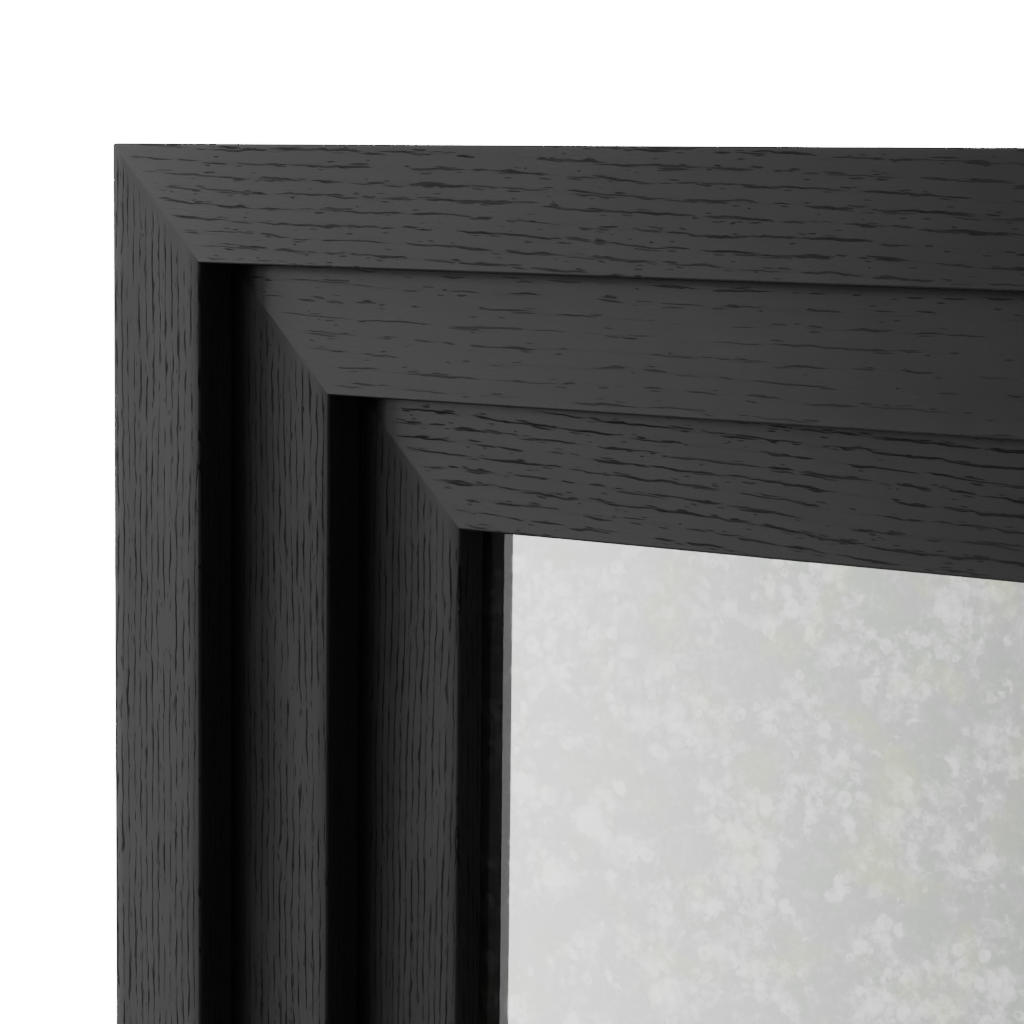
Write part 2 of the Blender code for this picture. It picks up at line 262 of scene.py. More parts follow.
def make_pore_group():
    """Dashes laid in rows: each cell along a row holds at most one lens-shaped pore."""
    tree = bpy.data.node_groups.new("pore_rows", "ShaderNodeTree")
    for name in ("Along", "Across", "Pitch", "Cell", "Thickness", "Spread", "Cover", "Seed"):
        tree.interface.new_socket(name=name, in_out="INPUT", socket_type="NodeSocketFloat")
    tree.interface.new_socket(name="Pore", in_out="OUTPUT", socket_type="NodeSocketFloat")
    n = Nodes(tree)
    given = n.add("NodeGroupInput").outputs
    rows = n.math("ADD", n.math("DIVIDE", given["Across"], given["Pitch"]), given["Seed"])
    row = n.math("FLOOR", rows)
    from_row = n.math("MULTIPLY", n.math("SUBTRACT", n.math("FRACT", rows), 0.5), given["Pitch"])
    start = n.white(n.vector(row, given["Seed"], 3.1)).outputs["Value"]
    along = n.math("DIVIDE", given["Along"], given["Cell"])
    cells = n.math("ADD", along, n.math("MULTIPLY", start, 9.0))
    cell = n.math("FLOOR", cells)
    in_cell = n.math("SUBTRACT", n.math("FRACT", cells), 0.5)
    pick = n.split(n.white(n.vector(row, cell, given["Seed"])).outputs["Color"])
    other = n.split(n.white(n.vector(cell, given["Seed"], row)).outputs["Color"])
    half = n.math("MULTIPLY_ADD", pick[1], 0.32, 0.17)
    room = n.math("SUBTRACT", 1.0, n.math("MULTIPLY", half, 2.0))
    centre = n.math("MULTIPLY", n.math("SUBTRACT", pick[2], 0.5), room)
    along = n.math("DIVIDE", n.math("SUBTRACT", in_cell, centre), half)
    lens = n.math("SUBTRACT", 1.0, n.math("MULTIPLY", along, along))
    place = n.math("MULTIPLY", n.math("SUBTRACT", pick[0], 0.5), given["Spread"])
    place = n.math("MULTIPLY", place, given["Pitch"])
    thick = n.math("MULTIPLY", given["Thickness"], n.math("MULTIPLY_ADD", other[0], 0.9, 0.45))
    across = n.math("DIVIDE", n.math("ABSOLUTE", n.math("SUBTRACT", from_row, place)), thick)
    shape = n.math("MULTIPLY", n.math("SUBTRACT", lens, across), 1.6, clamp=True)
    there = n.math("LESS_THAN", other[1], given["Cover"])
    depth = n.math("MULTIPLY_ADD", other[2], 0.4, 0.6)
    pore = n.math("MULTIPLY", n.math("MULTIPLY", shape, there), depth)
    n.set(n.add("NodeGroupOutput").inputs[0], pore)
    return tree


def make_oak():
    """Black open-pored oak. The vertices carry grain (place along, across and behind the face),
    member (mitre's place, row pitch, seed), look (pore cover, strength, slope) and satin (the
    finish's roughness)."""
    material, n, shader = new_material("black_oak")
    group = make_pore_group()
    grain = n.split(n.attribute("grain"))
    member = n.split(n.attribute("member"))
    look = n.split(n.attribute("look"))
    along, face_across, depth = grain
    mitre, pitch, seed = member
    side_across = n.math("MULTIPLY_ADD", along, look[2], n.math("ADD", face_across, depth))

    def figure(lengthwise, crosswise, across_grain=side_across, **settings):
        place = (n.math("MULTIPLY", along, lengthwise), n.math("MULTIPLY", across_grain, crosswise))
        return n.noise(n.vector(*place, seed), **settings).outputs[0]

    slow = figure(11, 30)
    quick = figure(150, 210)
    across = n.math("MULTIPLY_ADD", n.math("SUBTRACT", slow, 0.5), 5.0 * MM, side_across)
    across = n.math("MULTIPLY_ADD", n.math("SUBTRACT", quick, 0.5), 1.3 * MM, across)

    patches = figure(22, 130)
    cover = n.math("MULTIPLY", look[0], n.range(patches, 0.28, 0.50, 0.35, 1.0))
    pores = None
    for cell, thickness, spread, share in PORE_LAYERS:
        layer = n.add("ShaderNodeGroup", node_tree=group)
        values = {
            "Along": along, "Across": across, "Pitch": pitch, "Cell": cell, "Thickness": thickness,
            "Spread": spread, "Cover": n.math("MULTIPLY", cover, share), "Seed": seed,
        }
        for key, value in values.items():
            n.set(layer.inputs[key], value)
        pores = layer.outputs[0] if pores is None else n.math("MAXIMUM", pores, layer.outputs[0])

    past = n.math("ADD", mitre, face_across)
    from_mitre = n.math("SUBTRACT", past, n.math("ABSOLUTE", along))
    from_mitre = n.math("MULTIPLY_ADD", n.math("SUBTRACT", patches, 0.5), 14 * MM, from_mitre)
    pores = n.math("MULTIPLY", pores, n.range(from_mitre, 1 * MM, 9 * MM))
    pores = n.math("MULTIPLY", pores, look[1])

    fibre = figure(60, 1300, across, detail=3.0)
    cloud = figure(14, 60)
    tone = n.math("MULTIPLY_ADD", fibre, 0.35, n.math("MULTIPLY", cloud, 0.65))
    shades = [(grey, grey, grey, 1) for grey in (0.0085, 0.0140)]
    ground = n.mix(n.range(tone, 0.3, 0.7), *shades)
    n.set(shader.inputs["Base Color"], n.mix(pores, ground, (0.002, 0.002, 0.002, 1)))
    shader.inputs["IOR"].default_value = 1.365
    satin = n.split(n.attribute("satin"))
    rough = n.math("ADD", satin[0], n.range(tone, 0.3, 0.7, 0.02, -0.02))
    n.set(shader.inputs["Roughness"], n.math("MULTIPLY_ADD", pores, 0.6, rough))
    relief = n.bump(fibre, 0.012 * MM)
    n.set(shader.inputs["Normal"], n.bump(n.math("SUBTRACT", 1.0, pores), PORE_RELIEF, relief))
    return material


def rounded_outline(corners, step, segments=3):
    """A closed outline through (v, y, radius) corners, its long sides cut into short steps."""
    points = []
    count = len(corners)
    for i, (v, y, radius) in enumerate(corners):
        here = Vector((v, y))
        before = (Vector(corners[i - 1][:2]) - here).normalized()
        after = (Vector(corners[(i + 1) % count][:2]) - here).normalized()
        centre = here + radius * (before + after)
        for k in range(segments + 1):
            angle = math.pi / 2 * k / segments
            points.append(centre - radius * (math.sin(angle) * before + math.cos(angle) * after))
    filled = []
    for a, b in zip(points, points[1:] + points[:1]):
        pieces = max(1, round((b - a).length / step))
        filled += [a.lerp(b, k / pieces) for k in range(pieces)]
    return filled


def tier_box(tier):
    """The tier's rectangle and its front and back, from its four members."""
    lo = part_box(f"{tier}_left_stile")[0]
    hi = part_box(f"{tier}_right_stile")[1]
    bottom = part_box(f"{tier}_bottom_rail")[0]
    top_lo, top_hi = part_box(f"{tier}_top_rail")
    return lo.x, hi.x, bottom.z, top_hi.z, lo.y, hi.y, top_hi.z - top_lo.z


def member_corners(tier, face, front, back):
    """The member's section as (v, y, radius) corners; v runs outwards across its face."""
    half = face / 2
    corners = [(half, front, ARRIS), (-half, front, ARRIS)]
    if tier == "inner":
        glass_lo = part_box("mirror_glass")[0]
        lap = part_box("inner_left_stile")[1].x - glass_lo.x + EDGE_PLAY
        corners += [(-half, glass_lo.y, BACK_ARRIS), (lap - half, glass_lo.y, 0.05 * MM),
                    (lap - half, back, BACK_ARRIS)]
    else:
        corners.append((-half, back, BACK_ARRIS))
    corners.append((half, back, BACK_ARRIS))
    return corners


def stations(half):
    """Places along a member, as shares of its half length, closer together at its ends."""
    count = max(2, round(2 * half / RING_STEP))
    inner = [-1 + 2 * k / count for k in range(1, count)]
    ends = [1 - d / half for d in END_STATIONS]
    return sorted([-1.0, 1.0] + inner + ends + [-e for e in ends])


def add_member(tier, side, number, oak):
    x0, x1, z0, z1, front, back, face = tier_box(tier)
    seam = 0.0 if tier == "outer" else SEAM
    face += seam
    outwards, turn = SIDES[side]
    is_rail = bool(outwards[1])
    half_x, half_z = (x1 - x0) / 2 + seam, (z1 - z0) / 2 + seam
    half = half_x if is_rail else half_z
    middle = Vector(((x0 + x1) / 2, 0, (z0 + z1) / 2))
    offset = Vector((outwards[0] * (half_x - face / 2), 0, outwards[1] * (half_z - face / 2)))
    centre = middle + offset
    outline = rounded_outline(member_corners(tier, face, front, back), RING_STEP)
    v, y = np.array(outline).T
    nv = np.roll(y, -1) - np.roll(y, 1)
    ny = np.roll(v, 1) - np.roll(v, -1)
    size = np.hypot(nv, ny)
    nv, ny = nv / size, ny / size

    share = np.array(stations(half))[:, None]
    ends = half - face / 2
    along = share * (ends + v)[None, :]
    across = np.broadcast_to(v, along.shape).copy()
    depth = np.broadcast_to(y, along.shape).copy()
    if tier == "outer":
        from_u = np.abs(along) - (half - CORNER_ROUNDING)
        from_v = across - (face / 2 - CORNER_ROUNDING)
        reach = np.hypot(from_u, from_v)
        is_outside = (from_u > 0) & (from_v > 0) & (reach > CORNER_ROUNDING)
        shrink = np.where(is_outside, CORNER_ROUNDING / reach, 1)
        along = np.sign(along) * (half - CORNER_ROUNDING + from_u * shrink)
        across = face / 2 - CORNER_ROUNDING + from_v * shrink

    grain = np.stack([along, across, depth], -1).reshape(-1, 3)
    fade = np.clip((ends + across - np.abs(along)) / WAVER_FADE, 0, 1)
    wave = np.array([
        noise.noise(Vector((g[0] * 60 + 7 * number, g[1] * 200, g[2] * 200)))
        + 0.5 * noise.noise(Vector((g[0] * 330, g[1] * 300 + 5 * number, g[2] * 300)))
        for g in grain
    ]).reshape(along.shape)
    push = np.minimum(WAVER * wave * fade, 0)
    across = across + push * nv
    depth = depth + push * ny

    sin_turn, cos_turn = math.sin(turn), math.cos(turn)
    verts = np.stack([
        centre.x + cos_turn * along + sin_turn * across,
        depth,
        centre.z - sin_turn * along + cos_turn * across,
    ], -1).reshape(-1, 3)
    rings, points = along.shape
    index = np.arange(rings * points).reshape(rings, points)
    after = np.roll(index, -1, axis=1)
    quads = np.stack([index[:-1], after[:-1], after[1:], index[1:]], -1).reshape(-1, 4)
    faces = quads.tolist() + [index[0][::-1].tolist(), index[-1].tolist()]
    mesh = bpy.data.meshes.new(f"oak_{tier}_{side}")
    mesh.from_pydata(verts.tolist(), [], faces)
    mesh.update()
    orient_outwards(mesh)
    kind = "rail" if is_rail else "stile"
    pitch, cover, strength, tilt = GRAIN[(tier, kind)]
    add_attribute(mesh, "grain", grain)
    add_attribute(mesh, "member", (ends, pitch, 3.0 + 2.37 * number))
    add_attribute(mesh, "look", (cover, strength, tilt))
    add_attribute(mesh, "satin", (FINISH_ROUGHNESS[kind], 0, 0))
    mesh.shade_smooth()
    mesh.set_sharp_from_angle(angle=math.radians(40))
    mesh.materials.append(oak)
    obj = bpy.data.objects.new(f"oak_{tier}_{side}", mesh)
    bpy.context.scene.collection.objects.link(obj)
    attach(obj, "mirror")
    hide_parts(f"{tier}_{side}")


def orient_outwards(mesh):
    bm = bmesh.new()
    bm.from_mesh(mesh)
    bmesh.ops.recalc_face_normals(bm, faces=bm.faces)
    bm.to_mesh(mesh)
    bm.free()


def add_attribute(mesh, name, values):
    """Stores one vector for every vertex: a row each, or the same for all."""
    attribute = mesh.attributes.new(name, "FLOAT_VECTOR", "POINT")
    rows = np.broadcast_to(np.array(values, float), (len(mesh.vertices), 3))
    attribute.data.foreach_set("vector", rows.astype(np.float32).ravel())


# ---------------------------------------------------------------- mirror


# Bloom layers: cell size, how many cells are filled where they crowd, and opacity.
BLOOM_LAYERS = (
    (15 * MM, 0.65, 0.40),
    (9.5 * MM, 0.90, 0.62),
    (6.5 * MM, 0.95, 0.62),
    (4.0 * MM, 0.85, 0.52),
)
MILKY_FROM, MILKY_TO = 0.16, 0.345  # places from the middle, towards both sides


def make_spot_group():
    """Round blooms of several sizes, some with a darker middle."""
    tree = bpy.data.node_groups.new("silver_blooms", "ShaderNodeTree")
    tree.interface.new_socket(name="Vector", in_out="INPUT", socket_type="NodeSocketVector")
    for name in ("Size", "Cover"):
        tree.interface.new_socket(name=name, in_out="INPUT", socket_type="NodeSocketFloat")
    tree.interface.new_socket(name="Bloom", in_out="OUTPUT", socket_type="NodeSocketFloat")
    n = Nodes(tree)
    given = n.add("NodeGroupInput").outputs
    scale = n.math("DIVIDE", 1.0, given["Size"])
    inputs = {"Vector": given["Vector"], "Scale": scale}
    cells = n.add("ShaderNodeTexVoronoi", inputs, voronoi_dimensions="3D")
    pick = n.split(cells.outputs["Color"])
    radius = n.math("MULTIPLY_ADD", pick[0], 0.30, 0.24)
    away = n.math("DIVIDE", cells.outputs["Distance"], radius)
    disc = n.range(away, 1.15, 0.60)
    hollow = n.math("MULTIPLY", n.range(away, 0.80, 0.25), n.range(pick[2], 0.55, 0.80))
    disc = n.math("SUBTRACT", disc, n.math("MULTIPLY", hollow, 0.55))
    bloom = n.math("MULTIPLY", disc, n.math("MULTIPLY_ADD", pick[2], 0.60, 0.40))
    there = n.range(n.math("SUBTRACT", given["Cover"], pick[1]), 0.0, 0.20)
    n.set(n.add("NodeGroupOutput").inputs[0], n.math("MULTIPLY", bloom, there))
    return tree


def make_silver():
    """The antiqued silvering seen through the glass: pale blooms on a grey-green ground."""
    material, n, shader = new_material("antiqued_silver")
    group = make_spot_group()
    x, y, z = n.split(n.position())
    place = n.vector(x, 0.0, z)

    def bent(scale, by, detail=3.0):
        wander = n.noise(place, scale, detail=detail).outputs["Color"]
        shift = n.scaled(n.shifted(wander, (-0.5, -0.5, -0.5)), (by, by, by))
        return n.shifted(place, shift)

    wavy = bent(240.0, 2.0 * MM)
    milky = n.range(n.math("ABSOLUTE", x), MILKY_FROM, MILKY_TO)
    clusters = n.noise(bent(70.0, 16 * MM), 42.0, detail=4.0, rough=0.62).outputs[0]
    crowd = n.range(clusters, 0.42, 0.60)
    blooms = None
    for size, cover, weight in BLOOM_LAYERS:
        layer = n.add("ShaderNodeGroup", node_tree=group)
        n.set(layer.inputs["Vector"], n.shifted(wavy, (size * 31, 0.0, size * 17)))
        n.set(layer.inputs["Size"], size)
        n.set(layer.inputs["Cover"], n.math("MULTIPLY_ADD", crowd, cover, 0.07))
        bloom = n.math("MULTIPLY", layer.outputs[0], weight)
        # blooms add up as overlapping films do
        blooms = bloom if blooms is None else n.math(
            "SUBTRACT", n.math("ADD", blooms, bloom), n.math("MULTIPLY", blooms, bloom))
    haze = n.noise(wavy, 150.0, detail=6.0, rough=0.70).outputs[0]
    haze = n.math("MULTIPLY", n.range(haze, 0.34, 0.68), n.math("MULTIPLY_ADD", crowd, 0.35, 0.30))
    light = n.math("SUBTRACT", n.math("ADD", blooms, haze), n.math("MULTIPLY", blooms, haze))
    speck = n.noise(place, 430.0, detail=4.0, rough=0.65).outputs[0]
    light = n.math("MULTIPLY_ADD", n.math("SUBTRACT", speck, 0.5), 0.75, n.range(light, 0.04, 0.92),
                   clamp=True)
    calm = n.math("MULTIPLY_ADD", light, 0.72, 0.36, clamp=True)
    light = n.add("ShaderNodeMix", {0: milky, 2: light, 3: calm}).outputs[0]
    stain = n.noise(n.shifted(bent(50.0, 18 * MM), (3.0, 0.0, 5.0)), 42.0, detail=2.0).outputs[0]
    clear = n.math("MULTIPLY_ADD", milky, -0.6, 0.9)
    stain = n.math("MULTIPLY", n.range(stain, 0.51, 0.66), clear)
    tint = n.noise(n.shifted(place, (9.0, 0.0, 1.0)), 45.0, detail=4.0).outputs[0]
    cool = n.mix(n.range(tint, 0.40, 0.60), (0.500, 0.538, 0.492, 1), (0.528, 0.524, 0.534, 1))
    ground = n.mix(stain, cool, (0.590, 0.622, 0.425, 1))
    pale = n.mix(stain, (0.990, 0.992, 0.988, 1), (0.945, 0.960, 0.770, 1))
    n.set(shader.inputs["Base Color"], n.mix(light, ground, pale))
    shader.inputs["Metallic"].default_value = 0.92
    n.set(shader.inputs["Roughness"], n.range(light, 0.0, 1.0, 0.015, 0.06))
    return material


def make_glass():
    material, n, shader = new_material("mirror_front_glass")
    shader.inputs["Base Color"].default_value = (0.975, 0.990, 0.982, 1)
    shader.inputs["Transmission Weight"].default_value = 1.0
    shader.inputs["IOR"].default_value = 1.52
    film = n.noise(n.position(), 9.0, detail=3.0).outputs[0]
    n.set(shader.inputs["Roughness"], n.range(film, 0.45, 0.75, 0.0, 0.012))
    return material


def add_mirror(glass, silver):
    """One sheet: glass in front and at its ground edges, the silvering on its back face."""
    lo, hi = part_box("mirror_glass")
    bm = bmesh.new()
    bmesh.ops.create_cube(bm, size=1.0)
    bmesh.ops.scale(bm, vec=hi - lo, verts=bm.verts)
    bmesh.ops.translate(bm, vec=(lo + hi) / 2, verts=bm.verts)
    bmesh.ops.bevel(bm, geom=bm.edges[:], offset=0.5 * MM, segments=2, profile=0.5, affect="EDGES")
    for face in bm.faces:
        face.material_index = 1 if face.normal.y > 0.9 else 0
    mesh = bpy.data.meshes.new("antiqued_mirror")
    bm.to_mesh(mesh)
    bm.free()
    mesh.materials.append(glass)
    mesh.materials.append(silver)
    obj = bpy.data.objects.new("antiqued_mirror", mesh)
    bpy.context.scene.collection.objects.link(obj)
    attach(obj, "mirror")
    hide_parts("mirror_glass")


# ---------------------------------------------------------------- screws and the parts behind

THREAD_PITCH = 1.3 * MM
THREAD_DEPTH = 0.35 * MM
RECESS_ARM = 0.52  # share of the head's radius
RECESS_HALF_WIDTH = 0.13
SMALL_HEAD = 3.8 * MM  # heads under this radius are the small screws'
SMALL_SCREW = (1.6 * MM, 1.75 * MM)  # the head's rise and the shank's radius
LARGE_SCREW = (1.8 * MM, 2.0 * MM)
PLY_THICKNESS = 1.5 * MM


def recess_rays():
    """Angles round a screw's head, each with the cross recess's radius there as a share of the
    head's radius; the recess's corners all lie on a ray."""
    corner = math.atan2(RECESS_HALF_WIDTH, RECESS_ARM)
    rays = []
    for quarter in range(4):
        turn = quarter * math.pi / 2
        for angle in (0.0, corner, 0.45, 0.62, math.pi / 4):
            reach = RECESS_ARM / math.cos(angle)
            if angle > corner:
                reach = RECESS_HALF_WIDTH / math.sin(angle)
            rays.append((turn + angle, reach))
            if 0 < angle < math.pi / 4:
                rays.append((turn + math.pi / 2 - angle, reach))
    return sorted(rays)


def make_screw_mesh(name, shank, head, rise, length):
    """A pan head with a cross recess over a threaded shank, along Y with the head at +Y."""
    rays = recess_rays()
    rings = [[(0.0, -length)] * len(rays)]

    def ring(radius, height):
        rings.append([(radius, height)] * len(rays))

    ring(0.25 * shank, 0.6 * MM - length)
    turn = 0
    y = 2.0 * MM - length
    ring(0.7 * (shank - THREAD_DEPTH), y)
    while y + THREAD_PITCH < -0.3 * length:
        taper = min(1.0, 0.75 + 0.25 * turn / 3)
        ring(taper * (shank - THREAD_DEPTH), y + 0.25 * THREAD_PITCH)
        ring(taper * shank, y + 0.5 * THREAD_PITCH)
        ring(taper * (shank - THREAD_DEPTH), y + 0.75 * THREAD_PITCH)
        y += THREAD_PITCH
        turn += 1
    ring(shank, y + 0.3 * THREAD_PITCH)
    ring(shank, -0.02 * MM)
    ring(0.96 * head, 0.0)
    ring(head, 0.08 * rise)
    ring(head, 0.30 * rise)
    for share in (0.97, 0.90, 0.80, 0.70):  # the crown, as far in as the recess
        crown = math.sqrt(1 - share**2) / math.sqrt(1 - RECESS_ARM**2)
        ring(share * head, rise * (0.30 + 0.70 * crown * 0.98))
    rings.append([(1.06 * reach * head, rise * 0.99) for _, reach in rays])
    rings.append([(reach * head, rise * 0.93) for _, reach in rays])
    rings.append([(0.62 * reach * head, rise * 0.15) for _, reach in rays])
    rings.append([(0.0, 0.05 * rise)] * len(rays))
    verts, faces = [], []
    for points in rings:
        verts += [(r * math.cos(a), h, r * math.sin(a)) for (r, h), (a, _) in zip(points, rays)]
    count = len(rays)
    for i in range(len(rings) - 1):
        for k in range(count):
            m = (k + 1) % count
            faces.append((i * count + k, i * count + m, (i + 1) * count + m, (i + 1) * count + k))
    mesh = bpy.data.meshes.new(name)
    mesh.from_pydata(verts, [], faces)
    bm = bmesh.new()
    bm.from_mesh(mesh)
    bmesh.ops.remove_doubles(bm, verts=bm.verts, dist=1e-7)
    bmesh.ops.recalc_face_normals(bm, faces=bm.faces)
    bm.to_mesh(mesh)
    bm.free()
    mesh.shade_smooth()
    mesh.set_sharp_from_angle(angle=math.radians(35))
    return mesh


def add_screws(steel):
    kinds = {}
    for name in sorted(o.name for o in bpy.data.objects if "screw" in o.name):
        lo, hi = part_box(name)
        head = (hi.x - lo.x) / 2
        kind = (round(head, 5), round(hi.y - lo.y, 4))
        if kind not in kinds:
            rise, shank = SMALL_SCREW if head < SMALL_HEAD else LARGE_SCREW
            length = hi.y - lo.y - rise
            mesh = make_screw_mesh(f"cross_screw_{len(kinds) + 1}", shank, head, rise, length)
            mesh.materials.append(steel)
            kinds[kind] = (mesh, rise)
        mesh, rise = kinds[kind]
        obj = bpy.data.objects.new(f"detailed_{name}", mesh)
        bpy.context.scene.collection.objects.link(obj)
        spin = 0.9 * noise.noise(Vector((lo.x * 13, 0.5, lo.z * 17))) * math.pi
        obj.matrix_world = (
            Matrix.Translation(((lo.x + hi.x) / 2, hi.y - rise, (lo.z + hi.z) / 2))
            @ Matrix.Rotation(spin, 4, "Y")
        )
        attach(obj, "mirror")
        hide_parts(name)


def make_zinc():
    """Bright zinc plate on steel, brushed along X with faint cloudy passivation."""
    material, n, shader = new_material("zinc_plate")
    place = n.position()
    cloud = n.noise(place, 55.0, detail=4.0).outputs[0]
    brushed = n.noise(n.scaled(place, (90.0, 2500.0, 2500.0)), 1.0, detail=2.0).outputs[0]
    colour = n.mix(n.range(cloud, 0.35, 0.65), (0.50, 0.51, 0.53, 1), (0.60, 0.60, 0.57, 1))
    n.set(shader.inputs["Base Color"], colour)
    shader.inputs["Metallic"].default_value = 1.0
    rough = n.math("MULTIPLY_ADD", brushed, 0.16, n.range(cloud, 0.3, 0.7, 0.26, 0.38))
    n.set(shader.inputs["Roughness"], rough)
    n.set(shader.inputs["Normal"], n.bump(brushed, 0.02 * MM))
    return material


def make_steel():
    """Nickel-plated screws, a little darker in patches."""
    material, n, shader = new_material("screw_steel")
    place = n.position()
    cloud = n.noise(place, 420.0, detail=3.0).outputs[0]
    colour = n.mix(n.range(cloud, 0.35, 0.65), (0.42, 0.41, 0.39, 1), (0.60, 0.59, 0.56, 1))
    n.set(shader.inputs["Base Color"], colour)
    shader.inputs["Metallic"].default_value = 1.0
    n.set(shader.inputs["Roughness"], n.range(cloud, 0.3, 0.7, 0.34, 0.22))
    n.set(shader.inputs["Normal"], n.bump(cloud, 0.015 * MM))
    return material


def make_hardboard():
    """Brown hardboard: short pressed fibres in several tones, with a few dark specks."""
    material, n, shader = new_material("hardboard")
    place = n.position()
    swirl = n.noise(place, 35.0, detail=3.0).outputs["Color"]
    bent = n.shifted(place, n.scaled(swirl, (0.03, 0.03, 0.03)))
    fibre = n.noise(n.scaled(bent, (260.0, 500.0, 900.0)), 1.0, detail=4.0, rough=0.6).outputs[0]
    fibre_2 = n.noise(n.scaled(bent, (1000.0, 500.0, 240.0)), 1.0, detail=4.0, rough=0.6).outputs[0]
    fibres = n.math("MAXIMUM", fibre, fibre_2)
    cloud = n.noise(place, 9.0, detail=4.0).outputs[0]
    colour = n.mix(n.range(fibres, 0.45, 0.72), (0.110, 0.062, 0.032, 1), (0.235, 0.145, 0.080, 1))
    colour = n.mix(n.range(cloud, 0.35, 0.70, 0.0, 0.45), colour, (0.130, 0.078, 0.042, 1))
    speck = n.noise(place, 650.0, detail=1.0).outputs[0]
    colour = n.mix(n.range(speck, 0.70, 0.78, 0.0, 0.7), colour, (0.045, 0.026, 0.015, 1))
    n.set(shader.inputs["Base Color"], colour)
    n.set(shader.inputs["Roughness"], n.range(fibres, 0.4, 0.7, 0.78, 0.62))
    n.set(shader.inputs["Normal"], n.bump(fibres, 0.06 * MM))
    return material


def make_ply():
    """Birch plywood: even plies through its thickness, alternately along and across the grain."""
    material, n, shader = new_material("birch_ply")
    place = n.position()
    x, y, z = n.split(place)
    wave = n.noise(n.scaled(place, (14.0, 0.0, 14.0)), 1.0, detail=2.0).outputs[0]
    level = n.math("MULTIPLY_ADD", n.math("SUBTRACT", wave, 0.5), 0.25 * MM, y)
    ply = n.math("MULTIPLY_ADD", level, 1.0 / PLY_THICKNESS, 0.5)  # faces fall mid-ply
    in_ply = n.math("FRACT", ply)
    crossed = n.math("GREATER_THAN", n.math("FRACT", n.math("MULTIPLY", ply, 0.5)), 0.5)
    grain = n.noise(n.scaled(place, (18.0, 300.0, 420.0)), 1.0, detail=4.0, rough=0.6).outputs[0]
    end_grain = n.noise(n.scaled(place, (900.0, 900.0, 900.0)), 1.0, detail=2.0).outputs[0]
    figure = n.mix(n.range(grain, 0.35, 0.65), (0.560, 0.400, 0.240, 1), (0.660, 0.500, 0.320, 1))
    ends = n.mix(n.range(end_grain, 0.35, 0.65), (0.300, 0.190, 0.105, 1), (0.410, 0.270, 0.150, 1))
    colour = n.mix(crossed, figure, ends)
    glue = n.range(n.math("MINIMUM", in_ply, n.math("SUBTRACT", 1.0, in_ply)), 0.10, 0.03)
    colour = n.mix(n.math("MULTIPLY", glue, 0.75), colour, (0.110, 0.060, 0.032, 1))
    n.set(shader.inputs["Base Color"], colour)
    n.set(shader.inputs["Roughness"], n.range(grain, 0.3, 0.7, 0.62, 0.50))
    n.set(shader.inputs["Normal"], n.bump(grain, 0.05 * MM))
    return material


def make_felt():
    """Dark grey felt with a loose nap."""
    material, n, shader = new_material("felt_grey")
    place = n.position()
    nap = n.noise(place, 1500.0, detail=4.0, rough=0.7, distortion=1.5).outputs[0]
    cloud = n.noise(place, 260.0, detail=3.0).outputs[0]
    colour = n.mix(n.range(nap, 0.35, 0.65), (0.040, 0.040, 0.043, 1), (0.120, 0.120, 0.125, 1))
    colour = n.mix(n.range(cloud, 0.3, 0.7, 0.0, 0.5), colour, (0.07, 0.07, 0.07, 1))
    n.set(shader.inputs["Base Color"], colour)
    shader.inputs["Roughness"].default_value = 0.95
    shader.inputs["Sheen Weight"].default_value = 0.35
    n.set(shader.inputs["Normal"], n.bump(nap, 0.25 * MM))
    return material


def finish_solids():
    """Materials and fine edges for the solids that are kept."""
    looks = (
        (("backing_board",), make_hardboard(), 0.5 * MM),
        (("frame_cleat", "wall_cleat"), make_ply(), 0.5 * MM),
        (("turn_button_", "corner_plate_"), make_zinc(), 0.35 * MM),
        (("bumper_",), make_felt(), 0.5 * MM),
    )
    for starts, material, edge in looks:
        for obj in list(bpy.data.objects):
            if obj.type != "MESH" or "screw" in obj.name or not obj.name.startswith(starts):
                continue
            obj.data.materials.clear()
            obj.data.materials.append(material)
            bevel = obj.modifiers.new("fine_edges", "BEVEL")
            bevel.width = edge
            bevel.segments = 2
            bevel.limit_method = "ANGLE"
            bevel.angle_limit = math.radians(35)
            bevel.harden_normals = True


# ---------------------------------------------------------------- world and floor

FLOOR_RADIUS = 4.0
FLOOR_GAP = 0.5 * MM  # under the object
BASE_LEVEL = 0.06
BACK_LEVEL = 0.7
FLOOR_LEVEL = 0.7


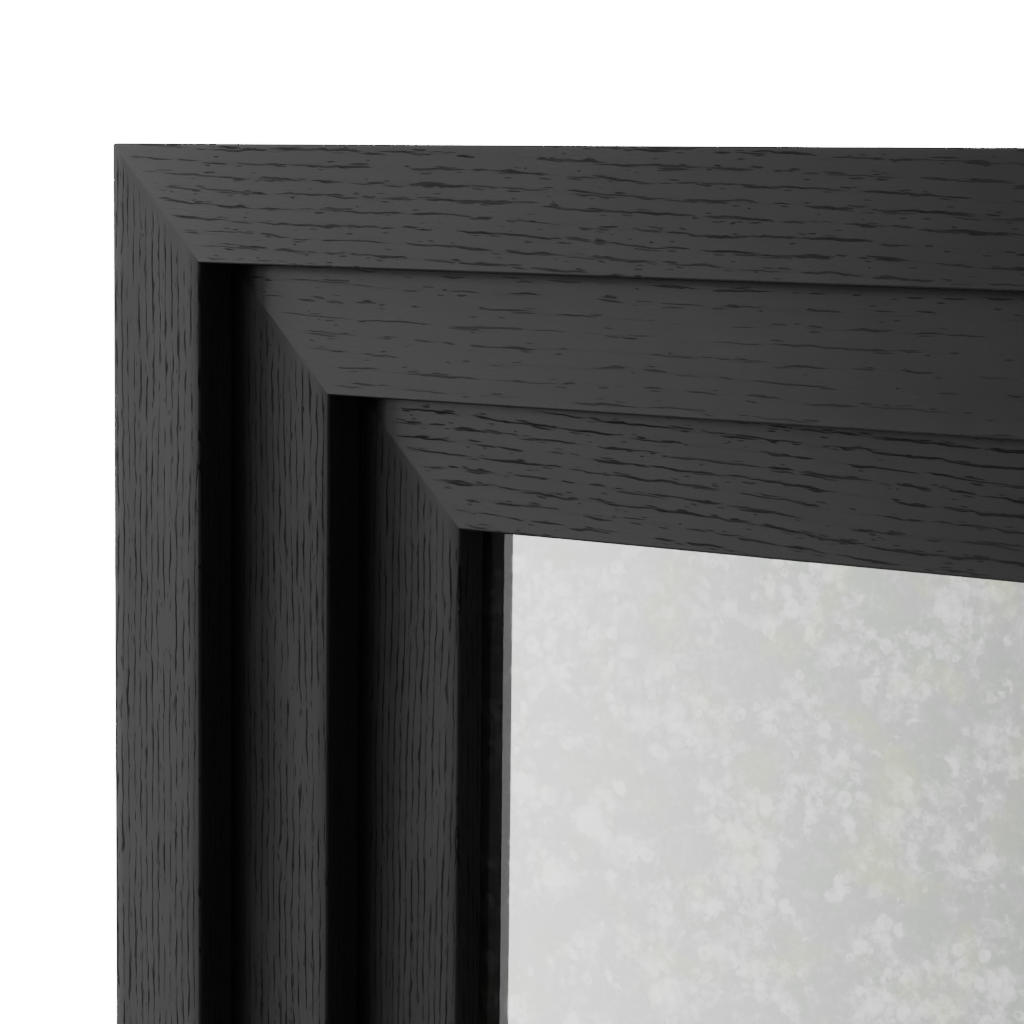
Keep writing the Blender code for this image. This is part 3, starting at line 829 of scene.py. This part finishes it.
def make_world():
    """White to look at. It lights the object's front most from the left and hardly from the right,
    its back evenly, and its underside as a pale floor would."""
    world = bpy.data.worlds.new("studio")
    bpy.context.scene.world = world
    world.use_nodes = True
    n = Nodes(world.node_tree)
    tree_nodes = world.node_tree.nodes
    background = tree_nodes["Background"]
    x, y, z = n.split(n.add("ShaderNodeTexCoord").outputs["Generated"])
    azimuth = n.math("ARCTAN2", x, n.math("MULTIPLY", y, -1.0))
    level_band = n.range(n.math("ABSOLUTE", z), 0.60, 0.40)
    high_band = n.range(z, 0.40, 0.60)

    def sector(start, end, soft=6):
        rise = n.range(azimuth, math.radians(start - soft), math.radians(start + soft))
        fall = n.range(azimuth, math.radians(end + soft), math.radians(end - soft))
        return n.math("MULTIPLY", rise, fall)

    level = BASE_LEVEL
    for band, start, end, brightness in (
        (level_band, -92, -60, 4.50),
        (level_band, -60, -20, 0.30),
        (level_band, -20, 25, 0.08),
        (level_band, 25, 60, 0.10),
        (level_band, 62, 92, 0.80),
        (high_band, -90, 0, 0.40),
    ):
        part = n.math("MULTIPLY", band, sector(start, end))
        level = n.math("MULTIPLY_ADD", part, brightness, level)
    level = n.math("MAXIMUM", level, n.range(y, 0.02, 0.15, 0.0, BACK_LEVEL))
    level = n.math("MAXIMUM", level, n.range(z, -0.50, -0.80, 0.0, FLOOR_LEVEL))
    n.set(background.inputs["Color"], n.vector(level, level, level))
    white = n.add("ShaderNodeBackground", {"Color": (1, 1, 1, 1), "Strength": WHITE})
    seen = n.add("ShaderNodeLightPath").outputs["Is Camera Ray"]
    mixed = n.add("ShaderNodeMixShader", {0: seen, 1: background.outputs[0], 2: white.outputs[0]})
    n.set(tree_nodes["World Output"].inputs["Surface"], mixed.outputs[0])


def make_floor():
    """A pale disc that pales to white towards its rim."""
    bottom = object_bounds()[0][2]
    bm = bmesh.new()
    bmesh.ops.create_circle(bm, cap_ends=True, segments=96, radius=FLOOR_RADIUS)
    mesh = bpy.data.meshes.new("floor")
    bm.to_mesh(mesh)
    bm.free()
    material, n, shader = new_material("floor_pale")
    x, y, z = n.split(n.position())
    away = n.math("SQRT", n.math("ADD", n.math("MULTIPLY", x, x), n.math("MULTIPLY", y, y)))
    shader.inputs["Base Color"].default_value = (0.80, 0.80, 0.79, 1)
    shader.inputs["Roughness"].default_value = 0.6
    glow = n.add("ShaderNodeEmission", {"Color": (1, 1, 1, 1), "Strength": WHITE})
    output = material.node_tree.nodes["Material Output"]
    fade = n.range(away, 0.8, 0.85 * FLOOR_RADIUS)
    mixed = n.add("ShaderNodeMixShader", {0: fade, 1: shader.outputs[0], 2: glow.outputs[0]})
    n.set(output.inputs["Surface"], mixed.outputs[0])
    mesh.materials.append(material)
    floor = bpy.data.objects.new("floor", mesh)
    bpy.context.scene.collection.objects.link(floor)
    floor.location = (0, 0, bottom - FLOOR_GAP)
    floor.visible_diffuse = False
    floor.visible_glossy = False
    floor.visible_transmission = False


add_camera()
make_world()
make_floor()
add_softbox("key_softbox", centre=(-0.92, -1.15, 0.45), size=(0.70, 3.1), radiance=2.38, far_share=0.19)
add_softbox("side_softbox", centre=(-1.97, -1.15, 0.45), size=(1.06, 3.1), radiance=3.7, far_share=1.0)

oak = make_oak()
for row, tier in enumerate(TIERS):
    for column, side in enumerate(SIDES):
        add_member(tier, side, 4 * row + column, oak)
add_mirror(make_glass(), make_silver())
add_screws(make_steel())
finish_solids()
